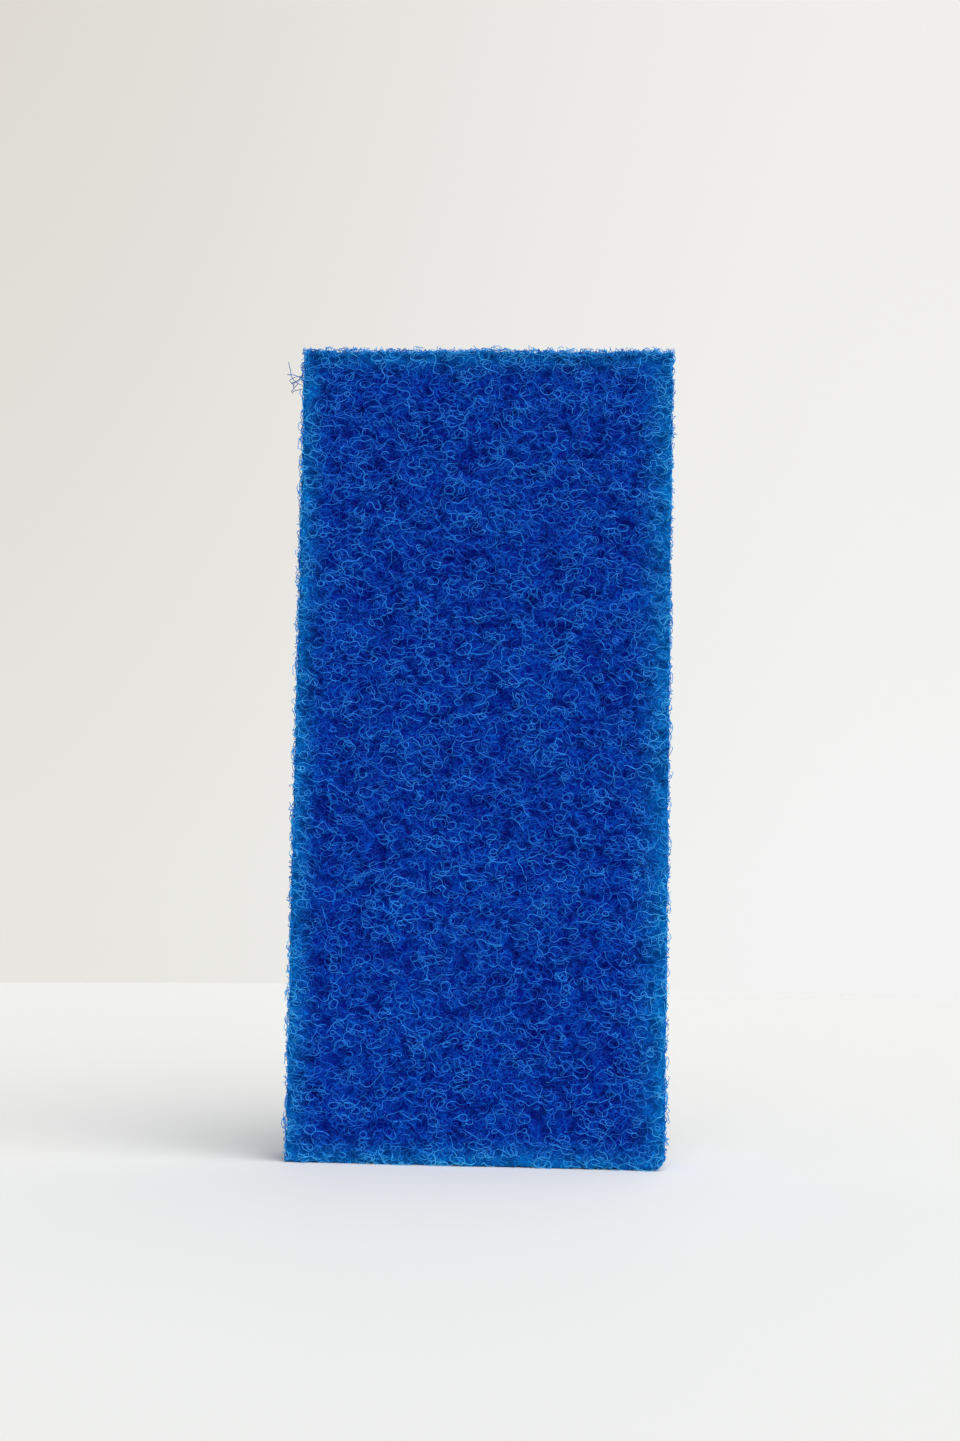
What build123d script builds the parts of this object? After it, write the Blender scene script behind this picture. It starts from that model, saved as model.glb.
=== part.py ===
from build123d import *
import os

# A utility scrub pad: one die-cut block of lofty non-woven fibre web, standing on a short edge.
# Frame: origin at the middle of the edge it stands on, +X along that edge, +Y from the scrubbing
# face to the gripped face, +Z up the long side. Lengths are in millimetres.

# Driving sizes
WIDTH = 117.0  # of the two faces, along X
HEIGHT = 254.0  # of the two faces, along Z
THICKNESS = 25.0  # of the web, along Y
CORNER_RADIUS = 0.8  # of the three crisp corners of the outline
WORN_CORNER_RADIUS = 5.0  # of the foot corner on the +X side, which is rubbed round
ARRIS_RADIUS = 0.5  # where the cut edges meet the two faces

NODE = "pad_web"


def foot_corner(outline: Sketch) -> Vertex:
    """The corner of the outline at the foot of the pad, on its +X side."""
    return outline.vertices().group_by(Axis.Y)[0].sort_by(Axis.X)[-1]


def die_cut_outline() -> Sketch:
    """The face of the pad, drawn in XY with the edge it stands on along X through the origin."""
    blank = Rectangle(WIDTH, HEIGHT, align=(Align.CENTER, Align.MIN))
    worn_corner = foot_corner(blank)
    crisp_corners = [corner for corner in blank.vertices() if corner != worn_corner]
    outline = fillet(crisp_corners, CORNER_RADIUS)
    return fillet(foot_corner(outline), WORN_CORNER_RADIUS)


def pad_web() -> Part:
    """The web block: the outline through its thickness, with its arrises softened on both faces."""
    block = extrude(Plane.XZ * die_cut_outline(), amount=THICKNESS / 2, both=True)
    arrises = block.faces().filter_by(Axis.Y).edges()
    return fillet(arrises, ARRIS_RADIUS)


os.makedirs("parts", exist_ok=True)
web = pad_web()
web.label = NODE
export_step(web, f"parts/{NODE}.step")
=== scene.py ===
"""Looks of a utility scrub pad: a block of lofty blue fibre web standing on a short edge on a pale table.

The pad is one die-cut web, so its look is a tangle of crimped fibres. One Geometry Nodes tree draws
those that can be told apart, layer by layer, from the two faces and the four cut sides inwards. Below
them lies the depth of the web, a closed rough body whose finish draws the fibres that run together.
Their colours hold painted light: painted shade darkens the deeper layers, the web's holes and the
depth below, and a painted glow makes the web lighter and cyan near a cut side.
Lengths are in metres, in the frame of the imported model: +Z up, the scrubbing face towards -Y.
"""

import logging
import math
from dataclasses import dataclass, field
from enum import Enum
from typing import Any

import bpy
from mathutils import Matrix, Vector


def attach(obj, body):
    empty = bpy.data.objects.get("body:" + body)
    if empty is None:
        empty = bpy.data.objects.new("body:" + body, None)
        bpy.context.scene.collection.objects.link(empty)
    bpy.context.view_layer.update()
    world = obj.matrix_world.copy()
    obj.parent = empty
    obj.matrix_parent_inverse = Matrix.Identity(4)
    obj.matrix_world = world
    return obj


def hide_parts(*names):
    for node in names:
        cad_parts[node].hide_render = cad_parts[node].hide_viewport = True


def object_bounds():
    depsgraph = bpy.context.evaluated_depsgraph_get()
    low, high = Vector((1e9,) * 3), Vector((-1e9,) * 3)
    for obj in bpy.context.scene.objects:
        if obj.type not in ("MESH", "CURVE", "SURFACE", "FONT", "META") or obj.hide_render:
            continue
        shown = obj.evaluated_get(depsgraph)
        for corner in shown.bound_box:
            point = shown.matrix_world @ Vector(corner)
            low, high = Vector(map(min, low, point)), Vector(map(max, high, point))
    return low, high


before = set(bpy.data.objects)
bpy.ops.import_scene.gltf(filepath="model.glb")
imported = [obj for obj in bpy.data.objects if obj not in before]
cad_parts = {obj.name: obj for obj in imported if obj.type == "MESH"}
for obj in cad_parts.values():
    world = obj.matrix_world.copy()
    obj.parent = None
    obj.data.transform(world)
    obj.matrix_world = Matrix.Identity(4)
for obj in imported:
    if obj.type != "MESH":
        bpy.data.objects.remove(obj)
CAD_LOW, CAD_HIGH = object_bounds()

LOG = logging.getLogger("scrub_pad")
MM = 0.001
NODE = "pad_web"
BODY = "root"
WAVER = 0.45 * MM  # how far the die-cut outline wavers
WAVER_SIZE = 24 * MM  # from bulge to bulge
LIT_SIDE = 0.72  # the +X side is the brighter one: its painted glow reaches further into the web there, as the light does
WORN_CORNER = 5.0 * MM  # radius of the foot corner on the +X side, which is rubbed round
HOLE_PITCH = 3.1 * MM  # from hole to hole of the web
HOLE_LEAST = 0.2 * MM  # radius of the least hole
HOLE_MOST = 1.2 * MM  # radius of the widest
HOLE_SQUASH = 0.85  # of a hole's length along X, which makes it lie across the pad
HOLE_DEPTH = -0.85  # how much of its change a hole loses along the way in
HOLE_RIM = (0.3, 1.3)  # of its radius, from where a hole starts to fade to where it ends
HOLE_PUSH = 1.9  # of its radius, out to which it pushes fibres aside
THIN_WEB = (0.5, 0.68)  # of the noise, from where the web starts to thin to where it is thinnest
MAP_NAME = "OFBake"  # the fibres' UV map: across by tone, which holds painted shade, up by nearness to a cut side, which sets the painted glow there


def linear(hex_colour: str) -> tuple[float, float, float, float]:
    """Turn an sRGB hex colour to the linear numbers that shaders take.

    Args:
        hex_colour: six hex digits, such as "07389b".

    Returns:
        Linear red, green, blue and an alpha of 1.
    """
    channels = [int(hex_colour[i : i + 2], 16) / 255 for i in (0, 2, 4)]
    curve = [c / 12.92 if c <= 0.04045 else ((c + 0.055) / 1.055) ** 2.4 for c in channels]
    return (*curve, 1.0)


def add_node(
    tree: bpy.types.NodeTree,
    kind: str,
    settings: dict[str, Any] | None = None,
    inputs: dict[str | int, Any] | None = None,
) -> bpy.types.Node:
    """Add a node to a tree, with its settings and its inputs.

    Args:
        tree: the shader or geometry tree that gets the node.
        kind: the node's type, such as "ShaderNodeMath".
        settings: properties of the node by name.
        inputs: for a socket's name or number, a value to hold or an output socket to link from.

    Returns:
        The new node.
    """
    node = tree.nodes.new(kind)
    for name, value in (settings or {}).items():
        setattr(node, name, value)
    for key, value in (inputs or {}).items():
        socket = node.inputs[key]
        if isinstance(value, bpy.types.NodeSocket):
            tree.links.new(value, socket)
        else:
            socket.default_value = value
    return node


def maths(tree: bpy.types.NodeTree, operation: str, *values: Any, clamp: bool = False) -> Any:
    """Add a Math node on the given values and return its result's socket."""
    settings = {"operation": operation, "use_clamp": clamp}
    return add_node(tree, "ShaderNodeMath", settings, dict(enumerate(values))).outputs[0]


def vectors(tree: bpy.types.NodeTree, operation: str, *values: Any) -> Any:
    """Add a Vector Math node and return its vector's socket; the second value of SCALE is its scale."""
    inputs = {0: values[0], "Scale": values[1]} if operation == "SCALE" else dict(enumerate(values))
    return add_node(tree, "ShaderNodeVectorMath", {"operation": operation}, inputs).outputs[0]


def remap(
    tree: bpy.types.NodeTree, value: Any, old: tuple[Any, Any], new: tuple[Any, Any], smooth: bool = False
) -> Any:
    """Add a Map Range node from one range to another and return its result's socket."""
    settings = {"interpolation_type": "SMOOTHSTEP" if smooth else "LINEAR"}
    inputs = dict(enumerate((value, *old, *new)))
    return add_node(tree, "ShaderNodeMapRange", settings, inputs).outputs[0]


def noise_at(tree: bpy.types.NodeTree, place: Any, size: float, detail: float = 1.0, **more: float) -> Any:
    """Add a 3-D Noise node whose features are about a size across, and return the node."""
    inputs = {"Vector": place, "Scale": 1 / size, "Detail": detail, **more}
    return add_node(tree, "ShaderNodeTexNoise", {"noise_dimensions": "3D"}, inputs)


def set_ramp(node: bpy.types.Node, stops: list[tuple[float, str]]) -> None:
    """Give a colour ramp its stops.

    Args:
        node: the Color Ramp node.
        stops: places from 0 to 1, each with its sRGB hex colour.
    """
    elements = node.color_ramp.elements
    while len(elements) > 1:
        elements.remove(elements[-1])
    elements[0].position = stops[0][0]
    elements[0].color = linear(stops[0][1])
    for place, hex_colour in stops[1:]:
        elements.new(place).color = linear(hex_colour)


def web_holes(tree: bpy.types.NodeTree, place: Any, inward: Any) -> tuple[Any, Any]:
    """Find the holes of the web, which its fibres run around, and the patches where it is thin.

    Args:
        tree: a shader or geometry tree.
        place: socket of the point's place.
        inward: the way into the web, along which a hole doesn't change.

    Returns:
        The socket of how open the web is there, from 0 to 1, and that of the step that takes a point
        out of a hole to its rim.
    """
    aside = vectors(tree, "ABSOLUTE", inward)
    keep = vectors(tree, "MULTIPLY_ADD", aside, (HOLE_DEPTH,) * 3, (HOLE_SQUASH, 1.0, 1.0))
    spot = vectors(tree, "MULTIPLY", place, keep)
    bend = noise_at(tree, spot, 0.7 * HOLE_PITCH)
    centred = vectors(tree, "SUBTRACT", bend.outputs[1], (0.5, 0.5, 0.5))
    bent = vectors(tree, "MULTIPLY_ADD", centred, (HOLE_PITCH,) * 3, spot)
    cells = add_node(
        tree, "ShaderNodeTexVoronoi", {"voronoi_dimensions": "3D", "feature": "F1"},
        {"Vector": bent, "Scale": 1 / HOLE_PITCH, "Randomness": 1.0},
    )
    away = vectors(tree, "SUBTRACT", bent, cells.outputs["Position"])
    off = add_node(tree, "ShaderNodeVectorMath", {"operation": "LENGTH"}, {0: away})
    own = add_node(tree, "ShaderNodeSeparateXYZ", inputs={0: cells.outputs["Color"]})
    radius = remap(tree, own.outputs["X"], (0.0, 1.0), (HOLE_LEAST, HOLE_MOST))
    share = maths(tree, "DIVIDE", off.outputs["Value"], radius)
    depth = remap(tree, share, HOLE_RIM, (0.8, 0.0), smooth=True)
    near = remap(tree, share, (0.0, HOLE_PUSH), (1.0, 0.0))
    reach = maths(tree, "MULTIPLY", near, radius)
    way = vectors(tree, "NORMALIZE", away)
    step = vectors(tree, "SCALE", way, reach)
    thin = noise_at(tree, spot, HOLE_PITCH, 1.5, Roughness=0.6)
    patch = remap(tree, thin.outputs[0], THIN_WEB, (0.0, 0.8), smooth=True)
    open_web = maths(tree, "MAXIMUM", depth, patch)
    return open_web, step


def ease_outline(tree: bpy.types.NodeTree, place: Any) -> Any:
    """Bring a point to the pad's real outline: it wavers, and its worn foot corner is round.

    Args:
        tree: the geometry tree.
        place: socket of the point's place in a block with sharp corners.

    Returns:
        The socket of the eased place.
    """
    noise = noise_at(tree, place, WAVER_SIZE)
    waver = vectors(tree, "SUBTRACT", noise.outputs[1], (0.5, 0.5, 0.5))
    split = add_node(tree, "ShaderNodeSeparateXYZ", inputs={0: place})
    rise = remap(tree, split.outputs["Z"], (0.0, 40 * MM), (0.0, 1.0))
    share = add_node(tree, "ShaderNodeCombineXYZ", inputs={0: 1.0, 1: 0.6, 2: rise})
    weak = vectors(tree, "MULTIPLY", waver, share.outputs[0])
    moved = vectors(tree, "MULTIPLY_ADD", weak, (2 * WAVER,) * 3, place)
    past = vectors(tree, "SUBTRACT", moved, (CAD_HIGH.x - WORN_CORNER, 0, WORN_CORNER))
    out = vectors(tree, "MULTIPLY", past, (1, 0, -1))
    corner = vectors(tree, "MAXIMUM", out, (0, 0, 0))
    reach = add_node(tree, "ShaderNodeVectorMath", {"operation": "LENGTH"}, {0: corner})
    over = maths(
        tree, "SUBTRACT", 1.0, maths(tree, "DIVIDE", WORN_CORNER, reach.outputs["Value"]), clamp=True
    )
    sides = add_node(tree, "ShaderNodeSeparateXYZ", inputs={0: corner})
    both = maths(tree, "MULTIPLY", sides.outputs["X"], sides.outputs["Z"])
    inside = maths(tree, "GREATER_THAN", both, 0.0)
    pulled = maths(tree, "MULTIPLY", over, inside)
    pull = vectors(tree, "MULTIPLY", corner, (-1, 0, 1))
    back = vectors(tree, "SCALE", pull, pulled)
    return vectors(tree, "ADD", moved, back)


# ---------------------------------------------------------------------------------------------------
# Finishes
# ---------------------------------------------------------------------------------------------------


@dataclass(frozen=True)
class DyedNylonFibre:
    """Crimped nylon fibre, dyed blue and coated in clear resin.

    Dye takes unevenly, so fibres differ from navy to bright blue, and painted shade darkens them in the
    web's holes and deeper layers. The resin coat gives each a soft gloss. Near a cut side, where light
    comes in from two sides, a painted glow makes them look cyan.
    """

    name: str = "dyed nylon fibre"
    # from navy to bright blue by tone, which mixes random dye with painted shade
    tones: tuple[tuple[float, str], ...] = (
        (0.00, "000e86"),
        (0.35, "003ab8"),
        (0.65, "005ed4"),
        (1.00, "2890f0"),
    )
    # painted glow: the lighter, cyan colours a fibre takes near a cut side
    edge_glow_tones: tuple[tuple[float, str], ...] = (
        (0.00, "005cae"),
        (0.45, "009cf0"),
        (1.00, "50ceff"),
    )
    edge_glow_strength: float = 0.85
    roughness: float = 0.42
    ior: float = 1.53
    gloss: float = 0.15  # low, as most of what a fibre mirrors is its blue neighbours
    grit_size: float = 0.5 * MM  # resin grit is finer, and is drawn this coarse so that it shows
    grit_bump: float = 0.35

    def make(self) -> bpy.types.Material:
        """Build the material.

        Returns:
            The finished material.
        """
        material = bpy.data.materials.new(self.name)
        material.use_nodes = True
        tree = material.node_tree
        tree.nodes.clear()
        dye = add_node(tree, "ShaderNodeUVMap", {"uv_map": MAP_NAME})
        split = add_node(tree, "ShaderNodeSeparateXYZ", inputs={0: dye.outputs["UV"]})
        body = add_node(tree, "ShaderNodeValToRGB", inputs={"Fac": split.outputs["X"]})
        set_ramp(body, list(self.tones))
        edge = add_node(tree, "ShaderNodeValToRGB", inputs={"Fac": split.outputs["X"]})
        set_ramp(edge, list(self.edge_glow_tones))
        # painted glow: mix towards the cyan colours near a cut side
        nearness = maths(tree, "MULTIPLY", split.outputs["Y"], self.edge_glow_strength)
        colour = add_node(
            tree, "ShaderNodeMix", {"data_type": "RGBA"},
            {0: nearness, 6: body.outputs["Color"], 7: edge.outputs["Color"]},
        )
        place = add_node(tree, "ShaderNodeTexCoord")
        grit = noise_at(tree, place.outputs["Object"], self.grit_size)
        bump = add_node(
            tree, "ShaderNodeBump",
            inputs={"Height": grit.outputs[0], "Strength": self.grit_bump, "Distance": 0.1 * MM},
        )
        shine = add_node(
            tree, "ShaderNodeMapRange",
            inputs={0: grit.outputs[0], 3: self.roughness - 0.1, 4: self.roughness + 0.15},
        )
        shader = add_node(
            tree, "ShaderNodeBsdfPrincipled",
            inputs={
                "Base Color": colour.outputs[2],
                "Roughness": shine.outputs[0],
                "IOR": self.ior,
                "Specular IOR Level": self.gloss,
                "Normal": bump.outputs[0],
            },
        )
        add_node(tree, "ShaderNodeOutputMaterial", inputs={"Surface": shader.outputs[0]})
        return material


@dataclass(frozen=True)
class DeepWeb:
    """The same fibre massed below the surface, where strands run together in their own shade, which its
    dark colour paints.

    It draws curls of blue over navy pits, the navy being painted shade, and dims the deeper curls and the
    web's holes as painted shade too. Near a cut side both colours are painted lighter and cyan, a painted
    glow. Curls are the walls of bent cells, in layers.
    """

    name: str = "massed nylon web"
    # painted shade: the navy between the strands
    shaded_pits: str = "00097e"
    curls: str = "005cd6"
    # painted glow: the lighter, cyan colours near a cut side
    glowing_pits: str = "005cb4"
    glowing_curls: str = "08a4f0"
    curl_size: float = 2.5 * MM  # across one loop
    strand_width: float = 0.17 * MM  # from a strand's middle to where it fades out
    strand_lights: tuple[float, ...] = (0.9, 0.55, 0.35)  # the deeper layers are the dimmer ones: painted shade
    clump_size: float = 13 * MM
    edge_reach: float = 10.0 * MM
    side_glow: float = 0.4  # share of the painted glow near a cut side that the cut sides themselves show
    roughness: float = 0.6
    gloss: float = 0.04

    def make(self) -> bpy.types.Material:
        """Build the material.

        Returns:
            The finished material.
        """
        material = bpy.data.materials.new(self.name)
        material.use_nodes = True
        tree = material.node_tree
        tree.nodes.clear()
        place = add_node(tree, "ShaderNodeTexCoord").outputs["Object"]
        strands = self._strands(tree, place)
        hole = web_holes(tree, place, (0, 1, 0))[0]
        side = add_node(tree, "ShaderNodeAttribute", {"attribute_name": "cut"})
        faced = maths(tree, "SUBTRACT", 1.0, side.outputs["Fac"], clamp=True)
        pit = maths(tree, "MULTIPLY", hole, faced)
        clump = noise_at(tree, place, self.clump_size)
        base = remap(tree, clump.outputs[0], (0.3, 0.7), (0.03, 0.14))
        lit = maths(tree, "MULTIPLY_ADD", strands, 0.85, base)
        # painted shade: the strands darken in the web's holes on the faces
        open_web = remap(tree, pit, (0.0, 1.0), (1.0, 0.25))
        light = maths(tree, "MULTIPLY", lit, open_web, clamp=True)
        # painted glow: lighter, cyan colours near a cut side
        nearness = self._nearness(tree, place)
        dark = add_node(
            tree, "ShaderNodeMix", {"data_type": "RGBA"},
            {0: nearness, 6: linear(self.shaded_pits), 7: linear(self.glowing_pits)},
        )
        bright = add_node(
            tree, "ShaderNodeMix", {"data_type": "RGBA"},
            {0: nearness, 6: linear(self.curls), 7: linear(self.glowing_curls)},
        )
        colour = add_node(
            tree, "ShaderNodeMix", {"data_type": "RGBA"},
            {0: light, 6: dark.outputs[2], 7: bright.outputs[2]},
        )
        bump = add_node(
            tree, "ShaderNodeBump", inputs={"Height": strands, "Strength": 0.8, "Distance": 0.3 * MM}
        )
        shader = add_node(
            tree, "ShaderNodeBsdfPrincipled",
            inputs={
                "Base Color": colour.outputs[2],
                "Roughness": self.roughness,
                "Specular IOR Level": self.gloss,
                "Normal": bump.outputs[0],
            },
        )
        add_node(tree, "ShaderNodeOutputMaterial", inputs={"Surface": shader.outputs[0]})
        return material

    def _strands(self, tree: bpy.types.NodeTree, place: Any) -> Any:
        """Draw curled strands in layers.

        Args:
            tree: the material's tree.
            place: socket of the point in object coordinates.

        Returns:
            The socket of how light the strand there is, 0 between strands, dimmer in the deeper layers as
            painted shade.
        """
        bend = noise_at(tree, place, 0.55 * self.curl_size)
        centred = vectors(tree, "SUBTRACT", bend.outputs[1], (0.5, 0.5, 0.5))
        strands = None
        for layer, light in enumerate(self.strand_lights):
            swing = (1 - 0.5 * layer) * self.curl_size
            bent = vectors(tree, "MULTIPLY_ADD", centred, (swing, swing, swing), place)
            shift = vectors(tree, "ADD", bent, (0.31 * layer, 0.17 * layer, 0.53 * layer))
            size = self.curl_size * (1 + 0.2 * layer)
            cells = add_node(
                tree, "ShaderNodeTexVoronoi",
                {"voronoi_dimensions": "3D", "feature": "DISTANCE_TO_EDGE"},
                {"Vector": shift, "Scale": 1 / size, "Randomness": 1.0},
            )
            strand = remap(
                tree, cells.outputs["Distance"],
                (0.2 * self.strand_width / size, self.strand_width / size), (light, 0.0), smooth=True,
            )
            if strands is not None:
                strand = maths(tree, "MAXIMUM", strands, strand)
            strands = strand
        return strands

    def _nearness(self, tree: bpy.types.NodeTree, place: bpy.types.NodeSocket) -> bpy.types.NodeSocket:
        """Measure how near a point is to a cut side, from 0 inside to 1 at the side, as the strength of
        the painted glow there.

        Args:
            tree: the material's tree.
            place: the point in object coordinates.

        Returns:
            The socket that holds the nearness.
        """
        split = add_node(tree, "ShaderNodeSeparateXYZ", inputs={0: place})
        from_left = maths(tree, "SUBTRACT", split.outputs["X"], CAD_LOW.x)
        # painted glow: it reaches further in from the +X side
        from_right = maths(tree, "MULTIPLY_ADD", split.outputs["X"], -LIT_SIDE, LIT_SIDE * CAD_HIGH.x)
        from_side = maths(tree, "MINIMUM", from_left, from_right)
        from_top = maths(tree, "SUBTRACT", CAD_HIGH.z, split.outputs["Z"])
        ends = maths(tree, "MINIMUM", from_top, split.outputs["Z"])
        nearest = maths(tree, "MINIMUM", from_side, ends)
        near = remap(tree, nearest, (0.0, self.edge_reach), (1.0, 0.0))
        glow = maths(tree, "POWER", near, 2.0)
        side = add_node(tree, "ShaderNodeAttribute", {"attribute_name": "cut"})
        share = remap(tree, side.outputs["Fac"], (0.0, 1.0), (1.0, self.side_glow))
        return maths(tree, "MULTIPLY", glow, share)


@dataclass(frozen=True)
class PaleLaminate:
    """The matt white table: it shows only soft shadow."""

    name: str = "matt white laminate"
    colour: str = "ecedeb"
    roughness: float = 0.7

    def make(self) -> bpy.types.Material:
        """Build the material, a plain one, as the table isn't part of the object."""
        material = bpy.data.materials.new(self.name)
        material.use_nodes = True
        shader = material.node_tree.nodes["Principled BSDF"]
        shader.inputs["Base Color"].default_value = linear(self.colour)
        shader.inputs["Roughness"].default_value = self.roughness
        shader.inputs["Specular IOR Level"].default_value = 0.2
        return material


# ---------------------------------------------------------------------------------------------------
# The fibre tree
# ---------------------------------------------------------------------------------------------------


class Lie(Enum):
    """How a fibre's path leans: how far it runs across, through and up for each length of it."""

    CARDED = (1.12, 0.55, 0.88)  # laid by the carding machine, a little longer across the pad
    CUT = (0.9, 0.45, 1.05)  # sprung loose at a cut side
    STRAY = (1.0, 0.5, 1.0)


@dataclass(frozen=True)
class Layer:
    """One layer of fibres, inside a box of the web.

    Attributes:
        name: the piece's name.
        low: lowest corner of the layer's box.
        high: highest corner of the layer's box.
        metres: length of fibre in the layer.
        fibre_length: length of one fibre before it turns out of sight.
        diameter: of a fibre with its resin coat.
        lie: how the fibres run.
        curl_radius: of the mean curl.
        step: distance between two points of a fibre.
        tone: lightness added to each fibre's own: painted shade, lower for the deeper layers of a face;
            higher for the cut sides, lower for the loose tuft.
        stray: how far the odd fibre stands out past the box.
        rarity: the higher, the fewer fibres stray far.
        dip: how far most fibres stay short of the box, which leaves it ragged.
        inward: the way into the web.
        pit_depth: how far the fibres sink where the web has a pit.
        glow: share of the painted glow near a cut side that the fibres show.
        curl_change: length over which a curl turns into the next.
        seed: of everything random in the layer.
    """

    name: str
    low: Vector
    high: Vector
    metres: float
    inward: Vector
    fibre_length: float = 10 * MM
    diameter: float = 0.22 * MM
    lie: Lie = Lie.CARDED
    curl_radius: float = 0.95 * MM
    curl_change: float = 4.4 * MM
    step: float = 0.75 * MM
    tone: float = 0.0
    stray: float = 0.9 * MM
    rarity: float = 5.0
    dip: float = 0.0
    pit_depth: float = 1.5 * MM
    glow: float = 1.0
    seed: int = 0

    @property
    def steps(self) -> int:
        """Points along one fibre, less one."""
        return max(3, round(self.fibre_length / self.step))

    @property
    def fibres(self) -> int:
        """How many fibres make up the layer's length."""
        return max(1, round(self.metres / (self.steps * self.step)))


class FibreTree:
    """The Geometry Nodes tree that fills a box with crimped fibres, each a closed three-sided tube.

    A fibre starts anywhere in the box and turns by a smooth random curvature, so that it curls one
    way, then the other. Where it would leave the box it folds back, as a fibre does that is bonded to
    its neighbours. Its map is laid out by its tone, which holds painted shade, and by its nearness to a
    cut side, which sets the painted glow there.
    """

    INPUTS = (
        ("Fibres", "NodeSocketInt"),
        ("Steps", "NodeSocketInt"),
        ("Step", "NodeSocketFloat"),
        ("Low", "NodeSocketVector"),
        ("High", "NodeSocketVector"),
        ("Lie", "NodeSocketVector"),
        ("Curl Radius", "NodeSocketFloat"),
        ("Curl Change", "NodeSocketFloat"),
        ("Diameter", "NodeSocketFloat"),
        ("Stray", "NodeSocketFloat"),
        ("Rarity", "NodeSocketFloat"),
        ("Dip", "NodeSocketFloat"),
        ("Inward", "NodeSocketVector"),
        ("Pit Depth", "NodeSocketFloat"),
        ("Glow", "NodeSocketFloat"),
        ("Tone", "NodeSocketFloat"),
        ("Pad Low", "NodeSocketVector"),
        ("Pad High", "NodeSocketVector"),
        ("Clump Size", "NodeSocketFloat"),
        ("Edge Reach", "NodeSocketFloat"),
        ("Seed", "NodeSocketInt"),
        ("Material", "NodeSocketMaterial"),
    )

    def __init__(self) -> None:
        """Build the tree once, for every layer to use."""
        self.tree = bpy.data.node_groups.new("crimped fibres", "GeometryNodeTree")
        face = self.tree.interface
        face.new_socket("Geometry", in_out="INPUT", socket_type="NodeSocketGeometry")
        face.new_socket("Geometry", in_out="OUTPUT", socket_type="NodeSocketGeometry")
        for name, kind in self.INPUTS:
            face.new_socket(name, in_out="INPUT", socket_type=kind)
        self.given = self.tree.nodes.new("NodeGroupInput").outputs
        strands = self._strands()
        curve_of = self._add("GeometryNodeCurveOfPoint")
        self.fibre = curve_of.outputs["Curve Index"]
        self.along = curve_of.outputs["Index in Curve"]
        bends = self._bends()
        path = self._path(bends)
        placed = self._add("GeometryNodeSetPosition", inputs={"Geometry": strands, "Position": path})
        kept = placed.outputs[0]
        for name, value in (("tone", self._tone(bends)), ("edge", self._edge())):
            kept = self._add(
                "GeometryNodeStoreNamedAttribute", {"data_type": "FLOAT", "domain": "POINT"},
                {"Geometry": kept, "Name": name, "Value": value},
            ).outputs[0]
        self._finish(self._tube(kept))

    def _add(
        self, kind: str, settings: dict[str, Any] | None = None, inputs: dict[str | int, Any] | None = None
    ) -> bpy.types.Node:
        """Add a node to this tree."""
        return add_node(self.tree, kind, settings, inputs)

    def _maths(self, operation: str, first: Any, second: Any = 0.0, clamp: bool = False) -> Any:
        """Combine two numbers, and return the socket of the result."""
        settings = {"operation": operation, "use_clamp": clamp}
        return self._add("ShaderNodeMath", settings, {0: first, 1: second}).outputs[0]

    def _vectors(self, operation: str, first: Any, second: Any = (0, 0, 0), third: Any = None) -> Any:
        """Combine vectors, and return the socket of the result."""
        inputs = {0: first, 1: second}
        if third is not None:
            inputs[2] = third
        return self._add("ShaderNodeVectorMath", {"operation": operation}, inputs).outputs[0]

    def _random(self, low: Any, high: Any, salt: int, vector: bool = False) -> Any:
        """Draw a value for each fibre.

        Args:
            low: least value.
            high: greatest value.
            salt: tells this draw from the others of the same fibre.
            vector: whether to draw three values.

        Returns:
            The socket of the drawn value.
        """
        seed = self._maths("ADD", self.given["Seed"], salt)
        kind, first = ("FLOAT_VECTOR", 0) if vector else ("FLOAT", 2)
        inputs = {first: low, first + 1: high, "ID": self.fibre, "Seed": seed}
        node = self._add("FunctionNodeRandomValue", {"data_type": kind}, inputs)
        return node.outputs[0 if vector else 1]

    def _strands(self) -> Any:
        """Make one straight strand of points for each fibre."""
        seeds = self._add("GeometryNodePoints", inputs={"Count": self.given["Fibres"]})
        points = self._maths("ADD", self.given["Steps"], 1)
        line = self._add("GeometryNodeCurvePrimitiveLine")
        strand = self._add("GeometryNodeResampleCurve", inputs={"Curve": line.outputs[0], "Count": points})
        spread = self._add(
            "GeometryNodeInstanceOnPoints",
            inputs={"Points": seeds.outputs[0], "Instance": strand.outputs[0]},
        )
        return self._add("GeometryNodeRealizeInstances", inputs={0: spread.outputs[0]}).outputs[0]

    def _bends(self) -> bpy.types.Node:
        """Sample smooth noise along each fibre: its turn, its lift and its drift of tone."""
        length = self._maths("MULTIPLY", self.along, self.given["Step"])
        phase = self._maths("DIVIDE", length, self.given["Curl Change"])
        lane = self._random(0.0, 400.0, 1)
        spot = self._add("ShaderNodeCombineXYZ", inputs={0: phase, 1: lane, 2: 0.0})
        noise = self._add(
            "ShaderNodeTexNoise", {"noise_dimensions": "2D"},
            {"Vector": spot.outputs[0], "Scale": 1.0, "Detail": 0.0},
        )
        return self._add("ShaderNodeSeparateXYZ", inputs={0: noise.outputs[1]})

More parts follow.
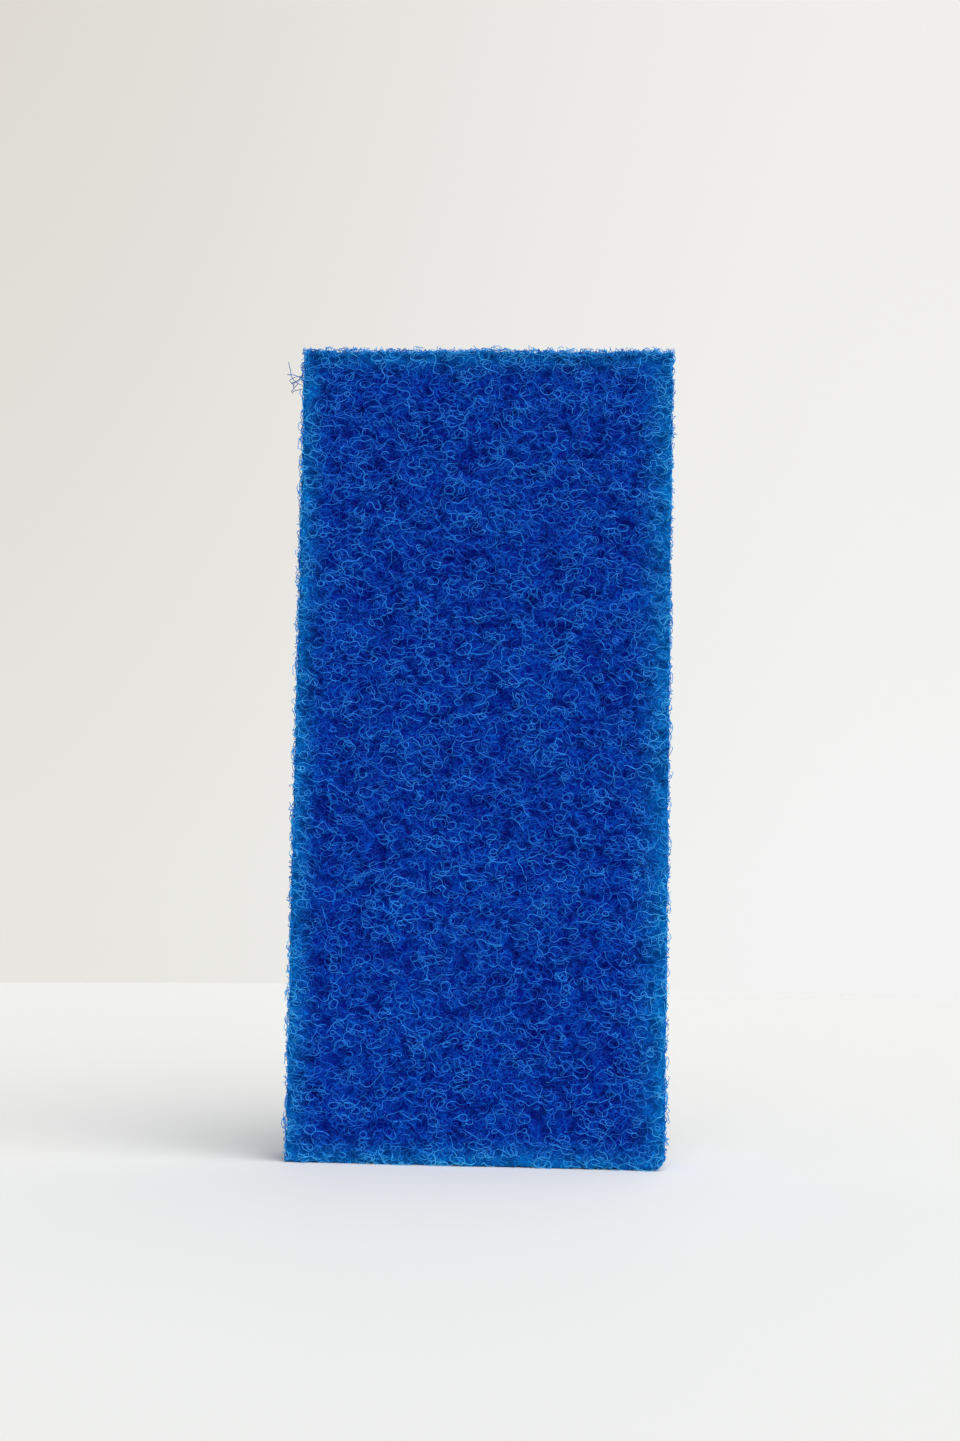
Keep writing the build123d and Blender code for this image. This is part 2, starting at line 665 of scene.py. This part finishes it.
    def _path(self, bends: bpy.types.Node) -> Any:
        """Follow each fibre point by point, folded into its box.

        Args:
            bends: the node whose outputs hold the fibre's noise.

        Returns:
            The socket of each point's place.
        """
        size = self._random(0.7, 1.8, 2)
        radius = self._maths("MULTIPLY", self.given["Curl Radius"], size)
        leaning = self._maths("MULTIPLY", self._maths("SUBTRACT", bends.outputs["X"], 0.5), 7.5)
        turning = self._maths("MINIMUM", self._maths("MAXIMUM", leaning, -1.0), 1.0)
        turn = self._maths("DIVIDE", self._maths("MULTIPLY", turning, self.given["Step"]), radius)
        turned = self._add(
            "GeometryNodeAccumulateField", {"data_type": "FLOAT", "domain": "POINT"},
            {"Value": turn, "Group ID": self.fibre},
        )
        heading = self._maths("ADD", turned.outputs[0], self._random(0.0, 2 * math.pi, 3))
        rise = self._maths("MULTIPLY", self._maths("SUBTRACT", bends.outputs["Y"], 0.5), 3.0)
        way = self._add(
            "ShaderNodeCombineXYZ",
            inputs={0: self._maths("COSINE", heading), 1: rise, 2: self._maths("SINE", heading)},
        )
        leaned = self._vectors("MULTIPLY", way.outputs[0], self.given["Lie"])
        stride = self._add(
            "ShaderNodeVectorMath", {"operation": "SCALE"}, {0: leaned, "Scale": self.given["Step"]}
        )
        walked = self._add(
            "GeometryNodeAccumulateField", {"data_type": "FLOAT_VECTOR", "domain": "POINT"},
            {"Value": stride.outputs[0], "Group ID": self.fibre},
        )
        odd = self._maths("POWER", self._random(0.0, 1.0, 4), self.given["Rarity"])
        most = self._maths("ADD", self.given["Stray"], self.given["Dip"])
        reach = self._maths("SUBTRACT", self._maths("MULTIPLY", odd, most), self.given["Dip"])
        low = self._vectors("SUBTRACT", self.given["Low"], reach)
        high = self._vectors("ADD", self.given["High"], reach)
        start = self._start()
        free = self._vectors("SUBTRACT", self._vectors("ADD", start, walked.outputs[0]), low)
        span = self._vectors("SUBTRACT", high, low)
        wrapped = self._vectors("WRAP", free, self._vectors("ADD", span, span), (0, 0, 0))
        back = self._vectors("ABSOLUTE", self._vectors("SUBTRACT", wrapped, span))
        folded = self._vectors("ADD", low, self._vectors("SUBTRACT", span, back))
        aside = web_holes(self.tree, folded, self.given["Inward"])[1]
        opened = self._vectors("ADD", folded, aside)
        hole = web_holes(self.tree, opened, self.given["Inward"])[0]
        sink = self._add(
            "ShaderNodeVectorMath", {"operation": "SCALE"},
            {0: self.given["Inward"], "Scale": self._maths("MULTIPLY", hole, self.given["Pit Depth"])},
        )
        eased = ease_outline(self.tree, self._vectors("ADD", opened, sink.outputs[0]))
        radius = self._maths("MULTIPLY", self.given["Diameter"], 0.6)
        ground = self._add("ShaderNodeCombineXYZ", inputs={0: -1.0, 1: -1.0, 2: radius})
        return self._vectors("MAXIMUM", eased, ground.outputs[0])

    def _start(self) -> Any:
        """Spread the fibres' starts evenly over their box.

        Each fibre steps on from the last by fixed irrational parts of the box, which leaves no heaps
        and no bare patches.

        Returns:
            The socket of the fibre's first point.
        """
        turns = self._add(
            "ShaderNodeVectorMath", {"operation": "SCALE"},
            {0: (0.8191725, 0.6710436, 0.5497005), "Scale": self.fibre},
        )
        shifted = self._vectors("ADD", turns.outputs[0], self._offset())
        share = self._vectors("FRACTION", shifted)
        span = self._vectors("SUBTRACT", self.given["High"], self.given["Low"])
        return self._vectors("MULTIPLY_ADD", share, span, self.given["Low"])

    def _offset(self) -> Any:
        """Offset one layer's starts from the next layer's."""
        return self._add(
            "ShaderNodeVectorMath", {"operation": "SCALE"},
            {0: (0.137, 0.291, 0.419), "Scale": self.given["Seed"]},
        ).outputs[0]

    def _tone(self, bends: bpy.types.Node) -> Any:
        """Mix each point's tone from its fibre, its clump, a drift along the fibre, and painted shade:
        darker in the web's holes and thin patches and in the deeper layers.

        Args:
            bends: the node whose outputs hold the fibre's noise.

        Returns:
            The socket of the tone, from 0 to 1.
        """
        place = self._add("GeometryNodeInputPosition")
        fineness = self._maths("DIVIDE", 1.0, self.given["Clump Size"])
        clump = self._add(
            "ShaderNodeTexNoise", {"noise_dimensions": "3D"},
            {"Vector": place.outputs[0], "Scale": fineness, "Detail": 1.0},
        )
        own = self._random(0.0, 0.65, 6)
        massed = self._maths("MULTIPLY", self._maths("SUBTRACT", clump.outputs[0], 0.5), 0.4)
        drift = self._maths("MULTIPLY", self._maths("SUBTRACT", bends.outputs["Z"], 0.5), 0.3)
        hole = web_holes(self.tree, place.outputs[0], self.given["Inward"])[0]
        # painted shade: the tone drops where the web has a hole or thins, and by the layer's Tone for the
        # deeper layers
        level = self._maths("SUBTRACT", self.given["Tone"], self._maths("MULTIPLY", hole, 0.4))
        level = self._maths("ADD", level, 0.27)
        return self._maths(
            "ADD", self._maths("ADD", own, massed), self._maths("ADD", drift, level), clamp=True
        )

    def _inside(self) -> Any:
        """Measure how far each point lies inside the nearest cut side, less than 0 outside it."""
        place = self._add("GeometryNodeInputPosition")
        below = self._vectors("SUBTRACT", self.given["Pad High"], place.outputs[0])
        # painted glow: it reaches further in from the +X side
        below = self._vectors("MULTIPLY", below, (LIT_SIDE, 1, 1))
        above = self._vectors("SUBTRACT", place.outputs[0], self.given["Pad Low"])
        inside = self._add("ShaderNodeSeparateXYZ", inputs={0: self._vectors("MINIMUM", below, above)})
        return self._maths("MINIMUM", inside.outputs["X"], inside.outputs["Z"])

    def _edge(self) -> Any:
        """Measure each point's nearness to a cut side, from 0 inside to 1 at the side, which sets the
        painted glow there.
        """
        near = self._add(
            "ShaderNodeMapRange",
            inputs={0: self._inside(), 1: 0.0, 2: self.given["Edge Reach"], 3: 1.0, 4: 0.0},
        )
        return self._maths("MULTIPLY", self._maths("POWER", near.outputs[0], 2.0), self.given["Glow"])

    def _tube(self, strands: Any) -> Any:
        """Give the fibres their thickness.

        Args:
            strands: the socket of the fibres' curves.

        Returns:
            The socket of the tubes' mesh.
        """
        radius = self._maths("MULTIPLY", self.given["Diameter"], 0.5)
        ring = self._add("GeometryNodeCurvePrimitiveCircle", inputs={"Resolution": 3, "Radius": radius})
        number = self._add("GeometryNodeInputIndex")
        ring = self._add(
            "GeometryNodeStoreNamedAttribute", {"data_type": "FLOAT", "domain": "POINT"},
            {"Geometry": ring.outputs[0], "Name": "side", "Value": number.outputs[0]},
        )
        parity = self._maths("MODULO", self.along, 2.0)
        strands = self._add(
            "GeometryNodeStoreNamedAttribute", {"data_type": "FLOAT", "domain": "POINT"},
            {"Geometry": strands, "Name": "parity", "Value": parity},
        )
        tube = self._add(
            "GeometryNodeCurveToMesh",
            inputs={"Curve": strands.outputs[0], "Profile Curve": ring.outputs[0], "Fill Caps": True},
        )
        return self._add("GeometryNodeSetShadeSmooth", inputs={0: tube.outputs[0]}).outputs[0]

    def _finish(self, tubes: Any) -> None:
        """Lay out the fibres' map, dress them and end the tree.

        Args:
            tubes: the socket of the tubes' mesh.
        """
        width = 0.006  # of a fibre's side on the map, so that no face there is a line
        read = {
            name: self._add(
                "GeometryNodeInputNamedAttribute", {"data_type": "FLOAT"}, {"Name": name}
            ).outputs[0]
            for name in ("tone", "edge", "side", "parity")
        }
        across = self._maths("ADD", read["tone"], self._maths("MULTIPLY", read["side"], width))
        up = self._maths("ADD", read["edge"], self._maths("MULTIPLY", read["parity"], width))
        within = 1 - 4 * width
        spot = self._add(
            "ShaderNodeCombineXYZ",
            inputs={0: self._maths("MULTIPLY", across, within), 1: self._maths("MULTIPLY", up, within)},
        )
        laid = self._add(
            "GeometryNodeStoreNamedAttribute", {"data_type": "FLOAT2", "domain": "CORNER"},
            {"Geometry": tubes, "Name": MAP_NAME, "Value": spot.outputs[0]},
        ).outputs[0]
        for name in read:
            laid = self._add(
                "GeometryNodeRemoveAttribute", inputs={"Geometry": laid, "Name": name}
            ).outputs[0]
        solid = self._add("GeometryNodeRealizeInstances", inputs={0: laid})
        dressed = self._add(
            "GeometryNodeSetMaterial",
            inputs={"Geometry": solid.outputs[0], "Material": self.given["Material"]},
        )
        self._add("NodeGroupOutput", inputs={0: dressed.outputs[0]})

    def grow(self, layer: Layer, material: bpy.types.Material) -> bpy.types.Object:
        """Grow one layer of fibres into a plain mesh.

        Args:
            layer: the layer's sizes.
            material: the fibres' finish.

        Returns:
            The finished object, with no modifier left on it.
        """
        values = {
            "Fibres": layer.fibres,
            "Steps": layer.steps,
            "Step": layer.step,
            "Low": layer.low,
            "High": layer.high,
            "Lie": layer.lie.value,
            "Curl Radius": layer.curl_radius,
            "Curl Change": layer.curl_change,
            "Diameter": layer.diameter,
            "Stray": layer.stray,
            "Rarity": layer.rarity,
            "Dip": layer.dip,
            "Inward": layer.inward,
            "Pit Depth": layer.pit_depth,
            "Glow": layer.glow,
            "Tone": layer.tone,
            "Pad Low": CAD_LOW,
            "Pad High": CAD_HIGH,
            "Clump Size": 13 * MM,
            "Edge Reach": 10 * MM,
            "Seed": layer.seed,
            "Material": material,
        }
        return plain_mesh(layer.name, self.tree, values)


def plain_mesh(name: str, tree: bpy.types.NodeTree, values: dict[str, Any]) -> bpy.types.Object:
    """Run a Geometry Nodes tree and keep what it makes as a plain mesh.

    Args:
        name: the piece's name.
        tree: the tree to run.
        values: the tree's inputs by name.

    Returns:
        An object at the origin that holds the mesh, with no modifier.
    """
    maker = bpy.data.objects.new(name + "_maker", bpy.data.meshes.new(name + "_maker"))
    bpy.context.scene.collection.objects.link(maker)
    modifier = maker.modifiers.new("maker", "NODES")
    modifier.node_group = tree
    for socket in tree.interface.items_tree:
        if socket.item_type == "SOCKET" and socket.in_out == "INPUT" and socket.name in values:
            modifier[socket.identifier] = values[socket.name]
    depsgraph = bpy.context.evaluated_depsgraph_get()
    mesh = bpy.data.meshes.new_from_object(maker.evaluated_get(depsgraph), depsgraph=depsgraph)
    mesh.name = name
    bpy.data.objects.remove(maker)
    piece = bpy.data.objects.new(name, mesh)
    bpy.context.scene.collection.objects.link(piece)
    return piece


# ---------------------------------------------------------------------------------------------------
# The pad
# ---------------------------------------------------------------------------------------------------


@dataclass
class WebDepth:
    """The depth of the web below the fibres that can be told apart: a closed rough body.

    Attributes:
        cover_low: how far it lies inside the pad's left side, scrubbing face and foot.
        cover_high: how far it lies inside the right side, gripped face and top.
        grid: size of its mesh.
        pit_depth: how deep a pit of the web goes.
        rough: how far its surface wanders elsewhere.
    """

    cover_low: Vector = field(default_factory=lambda: Vector((0.3, 1.5, 0.3)) * MM)
    cover_high: Vector = field(default_factory=lambda: Vector((0.3, 1.5, 0.3)) * MM)
    grid: float = 1.5 * MM
    pit_depth: float = 2.0 * MM
    rough: float = 0.5 * MM

    INPUTS = (
        ("Size", "NodeSocketVector"),
        ("Centre", "NodeSocketVector"),
        ("Across", "NodeSocketInt"),
        ("Through", "NodeSocketInt"),
        ("Up", "NodeSocketInt"),
        ("Pit Depth", "NodeSocketFloat"),
        ("Rough", "NodeSocketFloat"),
        ("Material", "NodeSocketMaterial"),
    )

    def build(self, material: bpy.types.Material) -> bpy.types.Object:
        """Build and dress the body.

        Args:
            material: its finish.

        Returns:
            The closed piece.
        """
        low = CAD_LOW + self.cover_low
        high = CAD_HIGH - self.cover_high
        size = high - low
        values = {
            "Size": size,
            "Centre": (low + high) / 2,
            "Across": round(size.x / self.grid) + 1,
            "Through": round(size.y / self.grid) + 1,
            "Up": round(size.z / self.grid) + 1,
            "Pit Depth": self.pit_depth,
            "Rough": self.rough,
            "Material": material,
        }
        piece = plain_mesh("web_depth", self._tree(), values)
        piece.data.shade_smooth()
        return piece

    def _tree(self) -> bpy.types.NodeTree:
        """Build the tree that roughens a block and sinks its pits."""
        tree = bpy.data.node_groups.new("web depth", "GeometryNodeTree")
        tree.interface.new_socket("Geometry", in_out="INPUT", socket_type="NodeSocketGeometry")
        tree.interface.new_socket("Geometry", in_out="OUTPUT", socket_type="NodeSocketGeometry")
        for name, kind in self.INPUTS:
            tree.interface.new_socket(name, in_out="INPUT", socket_type=kind)
        given = tree.nodes.new("NodeGroupInput").outputs
        block = add_node(
            tree, "GeometryNodeMeshCube",
            inputs={
                "Size": given["Size"],
                "Vertices X": given["Across"],
                "Vertices Y": given["Through"],
                "Vertices Z": given["Up"],
            },
        )
        moved = add_node(
            tree, "GeometryNodeSetPosition",
            inputs={"Geometry": block.outputs[0], "Offset": given["Centre"]},
        )
        mapped = add_node(
            tree, "GeometryNodeStoreNamedAttribute", {"data_type": "FLOAT2", "domain": "CORNER"},
            {"Geometry": moved.outputs[0], "Name": MAP_NAME, "Value": self._map(tree)},
        )
        place = add_node(tree, "GeometryNodeInputPosition")
        out = add_node(tree, "GeometryNodeInputNormal")
        pit = web_holes(tree, place.outputs[0], out.outputs[0])[0]
        aside = add_node(
            tree, "ShaderNodeVectorMath", {"operation": "DOT_PRODUCT"}, {0: out.outputs[0], 1: (0, 1, 0)}
        )
        faced = maths(tree, "ABSOLUTE", aside.outputs["Value"])
        cut = maths(tree, "SUBTRACT", 1.0, faced)
        marked = add_node(
            tree, "GeometryNodeStoreNamedAttribute", {"data_type": "FLOAT", "domain": "POINT"},
            {"Geometry": mapped.outputs[0], "Name": "cut", "Value": cut},
        )
        noise = noise_at(tree, place.outputs[0], 0.6 * HOLE_PITCH)
        centred = vectors(tree, "SUBTRACT", noise.outputs[1], (0.5, 0.5, 0.5))
        twice = maths(tree, "MULTIPLY", given["Rough"], 2.0)
        wander = vectors(tree, "SCALE", centred, twice)
        faces = vectors(tree, "MULTIPLY", out.outputs[0], (-0.3, -1.0, -0.2))
        depth = maths(tree, "MULTIPLY", pit, given["Pit Depth"])
        sink = vectors(tree, "SCALE", faces, depth)
        shift = vectors(tree, "ADD", wander, sink)
        shifted = vectors(tree, "ADD", place.outputs[0], shift)
        eased = ease_outline(tree, shifted)
        rough = add_node(
            tree, "GeometryNodeSetPosition", inputs={"Geometry": marked.outputs[0], "Position": eased}
        )
        solid = add_node(tree, "GeometryNodeRealizeInstances", inputs={0: rough.outputs[0]})
        dressed = add_node(
            tree, "GeometryNodeSetMaterial",
            inputs={"Geometry": solid.outputs[0], "Material": given["Material"]},
        )
        add_node(tree, "NodeGroupOutput", inputs={0: dressed.outputs[0]})
        return tree

    def _map(self, tree: bpy.types.NodeTree) -> Any:
        """Lay the block's six faces side by side on its map.

        Args:
            tree: the body's tree.

        Returns:
            The socket of a corner's place on the map.
        """
        wide, thick, tall = CAD_HIGH - CAD_LOW
        gap = 3 * MM
        normal = add_node(tree, "GeometryNodeInputNormal")
        way = add_node(
            tree, "GeometryNodeFieldOnDomain", {"data_type": "FLOAT_VECTOR", "domain": "FACE"},
            {0: normal.outputs[0]},
        )
        place = add_node(tree, "GeometryNodeInputPosition")
        inside = vectors(tree, "SUBTRACT", place.outputs[0], CAD_LOW)
        ends = 2 * (wide + gap) + 2 * (thick + gap)
        # for each face: its way out, where X, Y and Z go on the map, and where it starts there
        faces = (
            ((0, -1, 0), (1, 0, 0), (0, 0, 1), (0.0, 0.0)),
            ((0, 1, 0), (1, 0, 0), (0, 0, 1), (wide + gap, 0.0)),
            ((-1, 0, 0), (0, 1, 0), (0, 0, 1), (2 * (wide + gap), 0.0)),
            ((1, 0, 0), (0, 1, 0), (0, 0, 1), (2 * (wide + gap) + thick + gap, 0.0)),
            ((0, 0, 1), (0, 1, 0), (1, 0, 0), (ends, 0.0)),
            ((0, 0, -1), (0, 1, 0), (1, 0, 0), (ends, wide + gap)),
        )
        total = None
        for out, across, up, start in faces:
            faced = add_node(
                tree, "ShaderNodeVectorMath", {"operation": "DOT_PRODUCT"}, {0: way.outputs[0], 1: out}
            )
            here = maths(tree, "GREATER_THAN", faced.outputs["Value"], 0.5)
            spot = [
                add_node(
                    tree, "ShaderNodeVectorMath", {"operation": "DOT_PRODUCT"},
                    {0: inside, 1: axis},
                ).outputs["Value"]
                for axis in (across, up)
            ]
            laid = add_node(tree, "ShaderNodeCombineXYZ", inputs={0: spot[0], 1: spot[1]})
            placed = vectors(tree, "ADD", laid.outputs[0], (start[0] + gap, start[1] + gap, 0.0))
            own = vectors(tree, "SCALE", placed, here)
            if total is not None:
                own = vectors(tree, "ADD", total, own)
            total = own
        return vectors(tree, "SCALE", total, 1 / (ends + thick + 2 * gap))


@dataclass
class ScrubPad:
    """The pad: the depth of its web, and the layers of fibre on its faces and cut sides."""

    depth: WebDepth = field(default_factory=WebDepth)
    scrub_metres: float = 22.8  # of fibre in one layer of the scrubbing face
    grip_metres: float = 11.5  # of fibre in one layer of the gripped face
    side_metres: float = 4.4  # of fibre in a long cut side
    top_metres: float = 3.4  # of fibre in the top cut side
    foot_metres: float = 2.0  # of fibre in the one the pad stands on
    arris_density: float = 0.011  # metres of fibre for each millimetre of a scrubbing-face arris

    def layers(self) -> list[Layer]:
        """List the layers of fibre, from the scrubbing face round to the cut sides.

        Returns:
            The layers.
        """
        low, high = CAD_LOW, CAD_HIGH
        scrub, grip = self.scrub_metres, self.grip_metres
        return [
            # tones fall from the outer layer to the inner: painted shade of the deeper layers
            self._face("scrub_face_outer", low.y - 0.1 * MM, low.y + 0.7 * MM, scrub, 0.28, 11),
            self._face("scrub_face_middle", low.y + 0.3 * MM, low.y + 1.2 * MM, scrub, 0.04, 12),
            self._face("scrub_face_inner", low.y + 0.9 * MM, low.y + 1.9 * MM, scrub, -0.16, 13),
            self._face("grip_face_outer", high.y - 0.8 * MM, high.y + 0.1 * MM, grip, 0.24, 21),
            self._face("grip_face_inner", high.y - 1.9 * MM, high.y - 0.5 * MM, grip, -0.14, 22),
            self._side("cut_side_left", low.x - 0.15 * MM, low.x + 1.1 * MM, 1, 31),
            self._side("cut_side_right", high.x - 1.1 * MM, high.x + 0.15 * MM, -1, 32),
            self._end("cut_top", high.z - 2.0 * MM, high.z + 0.25 * MM, self.top_metres, -1, 33),
            self._end("cut_foot", low.z - 0.4 * MM, low.z + 1.2 * MM, self.foot_metres, 1, 34),
            self._arris("arris_top", Vector((low.x, 0, high.z - 1.3 * MM)),
                        Vector((high.x, 0, high.z + 0.4 * MM)), Vector((0, 0, -1)), 1.6, 41),
            self._arris("arris_left", Vector((low.x - 0.3 * MM, 0, low.z)),
                        Vector((low.x + 0.7 * MM, 0, high.z)), Vector((1, 0, 0)), 0.5, 42),
            self._arris("arris_right", Vector((high.x - 0.7 * MM, 0, low.z + WORN_CORNER)),
                        Vector((high.x + 0.3 * MM, 0, high.z)), Vector((-1, 0, 0)), 0.25, 44),
            self._tuft(),
        ]

    def _face(self, name: str, near: float, far: float, metres: float, tone: float, seed: int) -> Layer:
        """Size one layer of a large face.

        Args:
            name: the piece's name.
            near: lowest Y of the layer.
            far: highest Y of the layer.
            metres: length of fibre in it.
            tone: lightness added to its fibres, lower for a deeper layer: painted shade.
            seed: of everything random in it.

        Returns:
            The layer.
        """
        low = Vector((CAD_LOW.x, near, CAD_LOW.z))
        high = Vector((CAD_HIGH.x, far, CAD_HIGH.z))
        inward = Vector((0, -math.copysign(1, near), 0))
        return Layer(
            name, low, high, metres, inward, tone=tone, stray=0.7 * MM, rarity=1.6, dip=0.5 * MM, seed=seed
        )

    def _side(self, name: str, left: float, right: float, way: int, seed: int) -> Layer:
        """Size the fibres of one long cut side, between two places along X; way is inward."""
        low = Vector((left, CAD_LOW.y + 0.3 * MM, CAD_LOW.z))
        high = Vector((right, CAD_HIGH.y - 0.3 * MM, CAD_HIGH.z))
        return Layer(
            name, low, high, self.side_metres, Vector((way, 0, 0)), 3.8 * MM, 0.28 * MM, Lie.CUT,
            stray=1.1 * MM, rarity=2.5, dip=0.25 * MM, pit_depth=0.6 * MM, tone=0.1, glow=0.75,
            seed=seed,
        )

    def _end(
        self, name: str, lower: float, upper: float, metres: float, way: int, seed: int
    ) -> Layer:
        """Size the fibres of one short cut side, between two places along Z; way is inward."""
        low = Vector((CAD_LOW.x, CAD_LOW.y + 0.3 * MM, lower))
        high = Vector((CAD_HIGH.x, CAD_HIGH.y - 0.3 * MM, upper))
        return Layer(
            name, low, high, metres, Vector((0, 0, way)), 3.8 * MM, 0.28 * MM, Lie.CUT,
            stray=1.3 * MM, rarity=2.2, dip=0.55 * MM, pit_depth=0.4 * MM, tone=0.1, glow=0.9,
            seed=seed,
        )

    def _arris(
        self, name: str, low: Vector, high: Vector, inward: Vector, crowd: float, seed: int
    ) -> Layer:
        """Size the frayed fibre ends along one arris of the scrubbing face.

        Args:
            name: the piece's name.
            low: its lowest X and Z.
            high: its highest X and Z.
            inward: the way into the pad from the cut side there.
            crowd: how crowded the ends are, 1 for the usual density.
            seed: of everything random in it.

        Returns:
            The layer.
        """
        length = max(high.x - low.x, high.z - low.z) / MM
        low = Vector((low.x, CAD_LOW.y - 0.2 * MM, low.z))
        high = Vector((high.x, CAD_LOW.y + 3.0 * MM, high.z))
        return Layer(
            name, low, high, self.arris_density * length * crowd, inward, 3.8 * MM, 0.26 * MM, Lie.CUT,
            stray=0.9 * MM, rarity=1.7, dip=0.3 * MM, pit_depth=0.3 * MM, tone=0.0, glow=0.8, seed=seed,
        )

    def _tuft(self) -> Layer:
        """Size the tuft of loose fibre that stands out of the left side, just below the top."""
        low = Vector((CAD_LOW.x - 3.2 * MM, CAD_LOW.y + 1 * MM, CAD_HIGH.z - 12 * MM))
        high = Vector((CAD_LOW.x + 1.5 * MM, CAD_LOW.y + 4 * MM, CAD_HIGH.z - 5 * MM))
        return Layer(
            "loose_tuft", low, high, 0.133, Vector((1, 0, 0)), 19 * MM, 0.25 * MM, Lie.STRAY,
            curl_radius=3.4 * MM, curl_change=9 * MM, step=0.6 * MM, tone=-0.6, stray=3.8 * MM,
            rarity=0.6, pit_depth=0.0, seed=43,
        )

    def build(self) -> None:
        """Build every piece, dress it and join it to the frame."""
        body = self.depth.build(DeepWeb().make())
        self._join(body)
        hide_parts(NODE)
        fibre = DyedNylonFibre().make()
        tree = FibreTree()
        for layer in self.layers():
            self._join(tree.grow(layer, fibre))

    def _join(self, piece: bpy.types.Object) -> None:
        """Make a piece ride with the pad, and log its triangles.

        Args:
            piece: the finished piece.
        """
        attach(piece, BODY)
        triangles = sum(len(face.vertices) - 2 for face in piece.data.polygons)
        LOG.info("%s: %d triangles", piece.name, triangles)


# ---------------------------------------------------------------------------------------------------
# The stage
# ---------------------------------------------------------------------------------------------------


@dataclass
class Stage:
    """The pale table, the light and the camera."""

    table_radius: float = 1.0
    eye: Vector = field(default_factory=lambda: Vector((32.3, -631.3, 88.6)) * MM)
    yaw: float = -3.02  # degrees to the left of +Y
    pitch: float = 4.45  # degrees above level
    roll: float = 1.0  # degrees, right side up
    lens: float = 50.0  # mm, on a 36 mm frame's long side

    def build(self) -> None:
        """Build the table, the light and the camera."""
        self._table()
        self._sky()
        self._lamps()
        self._camera()

    def _table(self) -> None:
        """Lay the round table top under the pad."""
        sides = 180
        turns = (2 * math.pi * k / sides for k in range(sides))
        rim = [(self.table_radius * math.cos(t), self.table_radius * math.sin(t), 0) for t in turns]
        mesh = bpy.data.meshes.new("table_top")
        mesh.from_pydata(rim, [], [tuple(range(sides))])
        mesh.materials.append(PaleLaminate().make())
        table = bpy.data.objects.new("table_top", mesh)
        bpy.context.scene.collection.objects.link(table)

    def _sky(self) -> None:
        """Surround the scene with even pale light; the backdrop that the camera and reflections see is
        painted a little dimmer and warmer to the left, as shade.
        """
        world = bpy.data.worlds.new("pale room")
        bpy.context.scene.world = world
        world.use_nodes = True
        tree = world.node_tree
        tree.nodes.clear()
        way = add_node(tree, "ShaderNodeTexCoord")
        split = add_node(tree, "ShaderNodeSeparateXYZ", inputs={0: way.outputs["Object"]})
        across = remap(tree, split.outputs["X"], (-0.36, 0.16), (0.0, 1.0), smooth=True)
        up = remap(tree, split.outputs["Z"], (0.0, 0.42), (0.0, 1.0))
        # painted shade: the backdrop is dimmer and warmer on the left
        left = add_node(
            tree, "ShaderNodeMix", {"data_type": "RGBA"},
            {0: up, 6: linear("e6e5df"), 7: linear("dcd8d0")},
        )
        right = add_node(
            tree, "ShaderNodeMix", {"data_type": "RGBA"},
            {0: up, 6: linear("f3f3f3"), 7: linear("f0efed")},
        )
        seen = add_node(
            tree, "ShaderNodeMix", {"data_type": "RGBA"},
            {0: across, 6: left.outputs[2], 7: right.outputs[2]},
        )
        path = add_node(tree, "ShaderNodeLightPath")
        sight = maths(tree, "MAXIMUM", path.outputs["Is Camera Ray"], path.outputs["Is Glossy Ray"])
        sight = maths(tree, "MAXIMUM", sight, path.outputs["Is Transmission Ray"])
        show = add_node(
            tree, "ShaderNodeBackground", inputs={"Color": seen.outputs[2], "Strength": 1.0}
        )
        light = add_node(
            tree, "ShaderNodeBackground", inputs={"Color": linear("ffffff"), "Strength": 0.31}
        )
        either = add_node(
            tree, "ShaderNodeMixShader",
            inputs={0: sight, 1: light.outputs[0], 2: show.outputs[0]},
        )
        add_node(tree, "ShaderNodeOutputWorld", inputs={"Surface": either.outputs[0]})

    def _lamps(self) -> None:
        """Light the pad as two wide soft panes do, one in front on the right and one behind."""
        self._lamp("front light", (0.75, -1.0, 1.25), 75.0, 2.95)
        self._lamp("back light", (0.7, 0.8, 1.0), 60.0, 0.35)

    def _lamp(self, name: str, source: tuple[float, float, float], spread: float, power: float) -> None:
        """Hang a far, soft light that shines on everything alike.

        Args:
            name: the light's name.
            source: the way to it.
            spread: the angle it fills, in degrees.
            power: its strength, in watts for a square metre.
        """
        light = bpy.data.lights.new(name, "SUN")
        light.angle = math.radians(spread)
        light.energy = power
        lamp = bpy.data.objects.new(name, light)
        lamp.rotation_euler = Vector(source).to_track_quat("Z", "Y").to_euler()
        bpy.context.scene.collection.objects.link(lamp)

    def _camera(self) -> None:
        """Set the camera a little to the right of the pad, low and level with its lower half."""
        data = bpy.data.cameras.new("camera")
        data.sensor_width = 36.0
        data.lens = self.lens
        data.clip_start = 0.01
        camera = bpy.data.objects.new("camera", data)
        yaw, pitch, roll = (math.radians(angle) for angle in (self.yaw, self.pitch, self.roll))
        camera.matrix_world = (
            Matrix.Translation(self.eye)
            @ Matrix.Rotation(-yaw, 4, "Z")
            @ Matrix.Rotation(math.pi / 2 + pitch, 4, "X")
            @ Matrix.Rotation(roll, 4, "Z")
        )
        bpy.context.scene.collection.objects.link(camera)
        bpy.context.scene.camera = camera


def main() -> None:
    """Build the stage and the pad."""
    logging.basicConfig(level=logging.INFO, format="%(name)s: %(message)s")
    bpy.context.scene.view_settings.view_transform = "Standard"
    Stage().build()
    ScrubPad().build()


if __name__ == "__main__":
    main()
